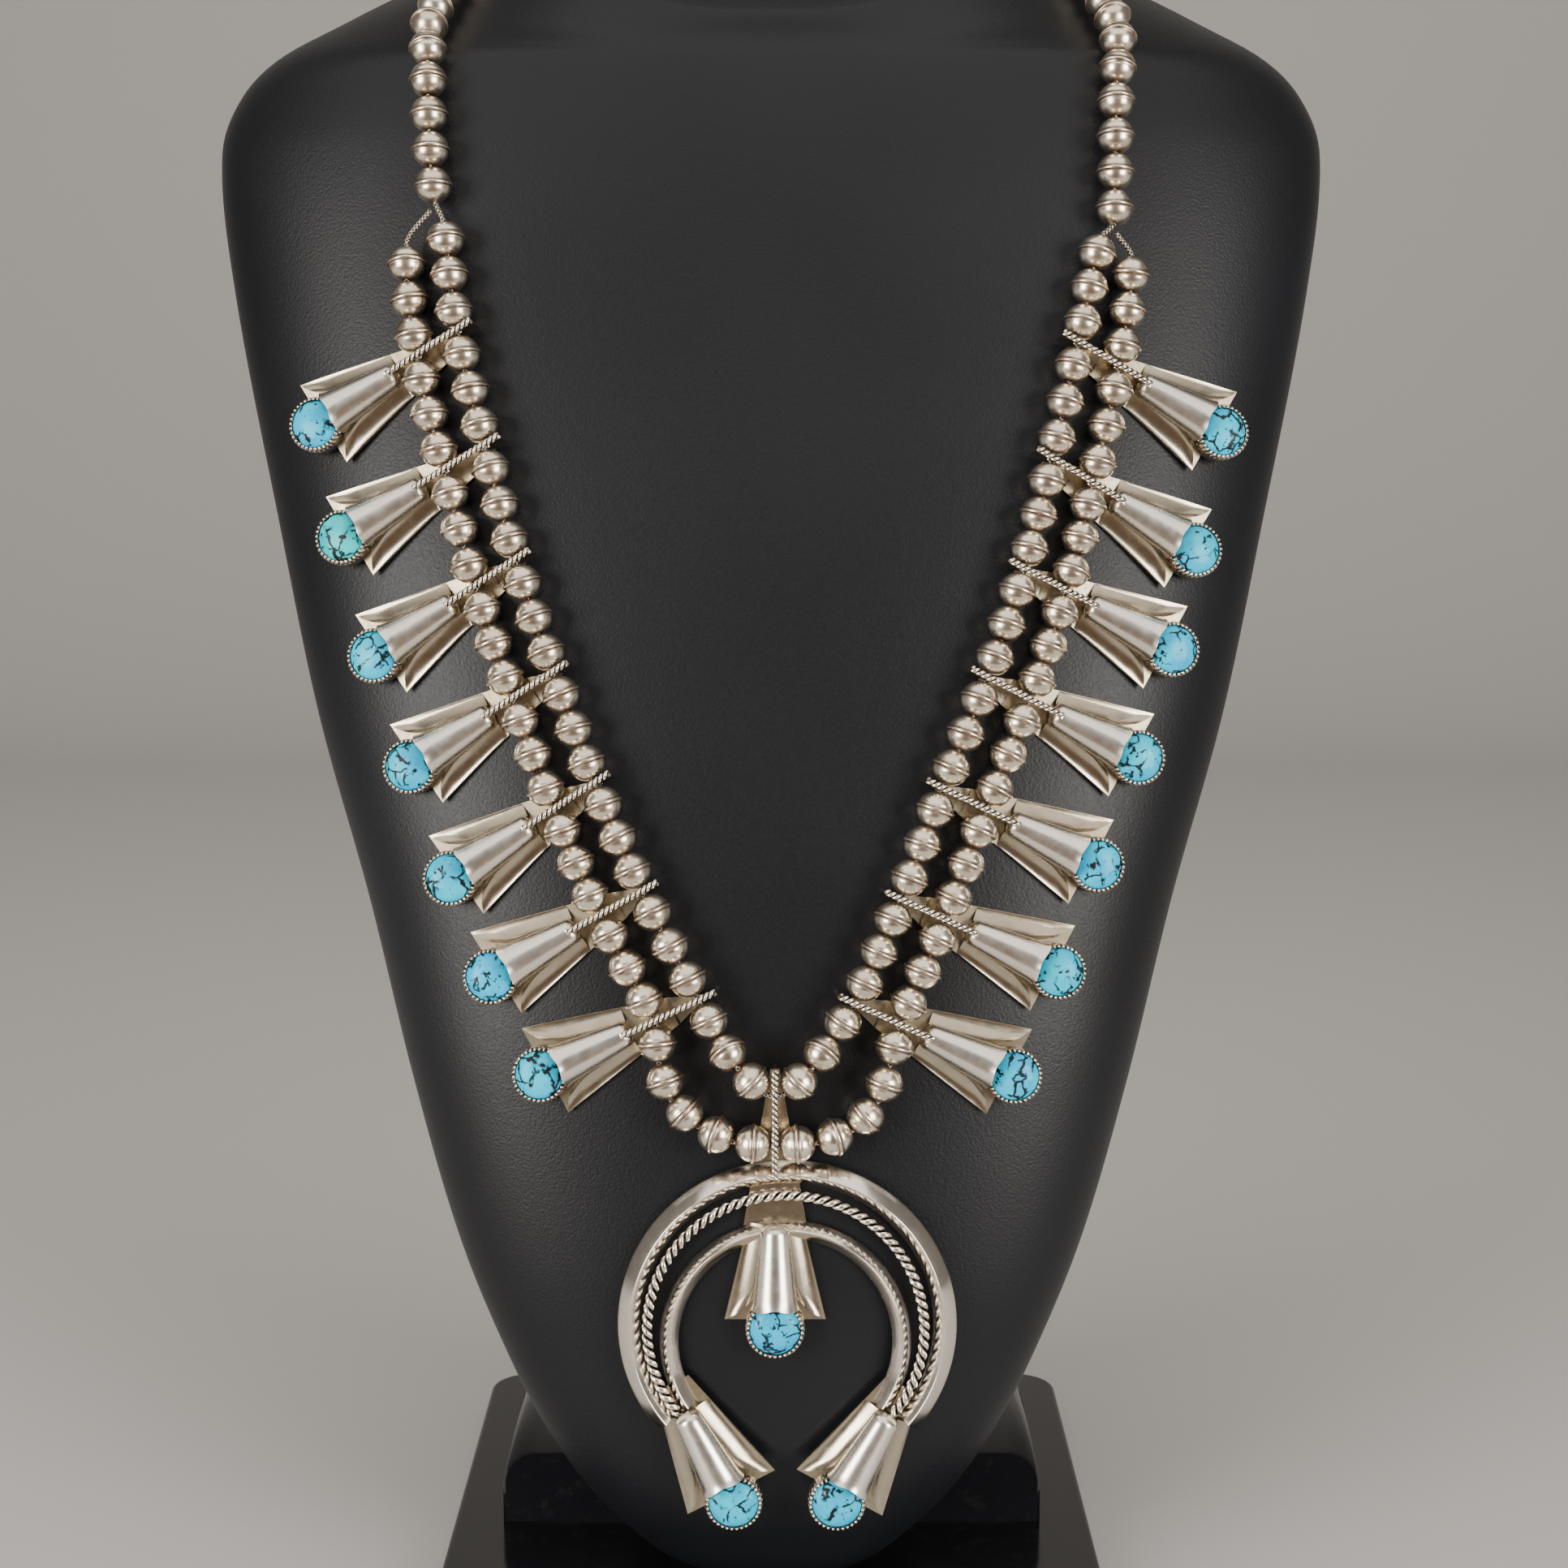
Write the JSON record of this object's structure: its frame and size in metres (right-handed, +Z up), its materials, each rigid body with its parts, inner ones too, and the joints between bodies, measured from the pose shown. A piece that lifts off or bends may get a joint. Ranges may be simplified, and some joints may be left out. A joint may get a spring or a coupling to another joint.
{
  "type": "squash blossom necklace on a neck bust",
  "caption": "Silver squash blossom necklace: two strands of seamed beads, blossoms with turquoise stones and a crescent pendant, on a plain black neck bust.",
  "frame": {"origin": "on the table under the middle of the whole object's box", "axes": "+Z up, -Y the way the bust faces, +X to the viewer's right"},
  "size_m": [0.255, 0.168, 0.436],
  "materials": {
    "leatherette": "satin",
    "base": "gloss",
    "bead_silver": "polished",
    "silver": "polished",
    "cord": "satin",
    "turquoise": "polished"
  },
  "bodies": {
    "root": {"bust": "leatherette", "bust_base": "base", "clasp": "silver", "thread_main": "cord", "thread_outer": "cord", "beads_inner_left": "bead_silver", "beads_inner_right": "bead_silver", "beads_outer_left": "bead_silver", "beads_outer_right": "bead_silver", "beads_neck_left": "bead_silver", "beads_neck_right": "bead_silver", "blossom_left_1": "silver", "blossom_left_2": "silver", "blossom_left_3": "silver", "blossom_left_4": "silver", "blossom_left_5": "silver", "blossom_left_6": "silver", "blossom_left_7": "silver", "blossom_right_1": "silver", "blossom_right_2": "silver", "blossom_right_3": "silver", "blossom_right_4": "silver", "blossom_right_5": "silver", "blossom_right_6": "silver", "blossom_right_7": "silver", "stone_left_1": "turquoise", "stone_left_2": "turquoise", "stone_left_3": "turquoise", "stone_left_4": "turquoise", "stone_left_5": "turquoise", "stone_left_6": "turquoise", "stone_left_7": "turquoise", "stone_right_1": "turquoise", "stone_right_2": "turquoise", "stone_right_3": "turquoise", "stone_right_4": "turquoise", "stone_right_5": "turquoise", "stone_right_6": "turquoise", "stone_right_7": "turquoise", "naja": "silver", "naja_stone_centre": "turquoise", "naja_stone_left": "turquoise", "naja_stone_right": "turquoise"}
  },
  "joints": []
}
